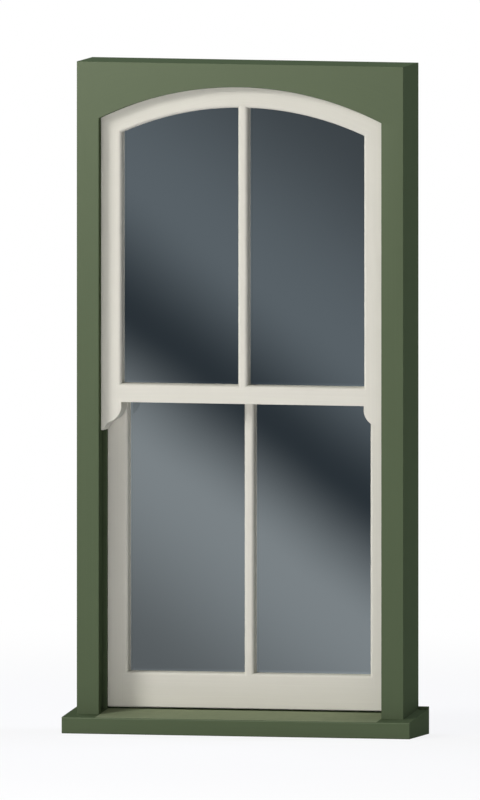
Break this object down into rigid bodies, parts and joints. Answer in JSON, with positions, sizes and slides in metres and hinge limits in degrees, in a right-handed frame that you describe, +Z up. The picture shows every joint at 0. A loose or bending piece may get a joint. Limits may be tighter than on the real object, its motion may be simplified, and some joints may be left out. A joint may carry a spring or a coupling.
{
  "type": "vertical sliding sash window with segmental arched head",
  "caption": "Painted timber sliding sash window with an arched top rail, horned upper sash, glazing bars, weathered projecting sill and square-headed frame.",
  "frame": {"origin": "middle of the sill's flat underside, in the middle of the overall width and depth", "axes": "+X to the right as seen from outside, +Y from the outside face to the room, +Z up"},
  "size_m": [0.905, 0.2094, 1.7],
  "materials": {
    "green_paint": "satin sage green paint on timber",
    "cream_paint": "satin cream paint on timber",
    "window_glass": "dark blue-grey sealed glass unit",
    "satin_brass": "satin cast brass"
  },
  "bodies": {
    "root": {"sill": "green_paint", "left_jamb": "green_paint", "right_jamb": "green_paint", "head": "green_paint", "left_outer_lining": "green_paint", "right_outer_lining": "green_paint", "arched_outer_lining": "green_paint", "left_parting_bead": "green_paint", "right_parting_bead": "green_paint", "arched_parting_bead": "green_paint", "left_staff_bead": "green_paint", "right_staff_bead": "green_paint", "arched_staff_bead": "green_paint", "upper_left_stile": "cream_paint", "upper_right_stile": "cream_paint", "upper_arched_rail": "cream_paint", "upper_meeting_rail": "cream_paint", "upper_glazing_bar": "cream_paint", "upper_left_glazing_bead": "cream_paint", "upper_right_glazing_bead": "cream_paint", "lower_left_stile": "cream_paint", "lower_right_stile": "cream_paint", "lower_meeting_rail": "cream_paint", "lower_bottom_rail": "cream_paint", "lower_glazing_bar": "cream_paint", "lower_left_glazing_bead": "cream_paint", "lower_right_glazing_bead": "cream_paint", "upper_left_pane": "window_glass", "upper_right_pane": "window_glass", "lower_left_pane": "window_glass", "lower_right_pane": "window_glass", "left_fastener_base": "satin_brass", "right_fastener_base": "satin_brass", "left_fastener_arm": "satin_brass", "right_fastener_arm": "satin_brass", "left_fastener_keep": "satin_brass", "right_fastener_keep": "satin_brass", "left_sash_lift": "satin_brass", "right_sash_lift": "satin_brass"}
  },
  "joints": []
}
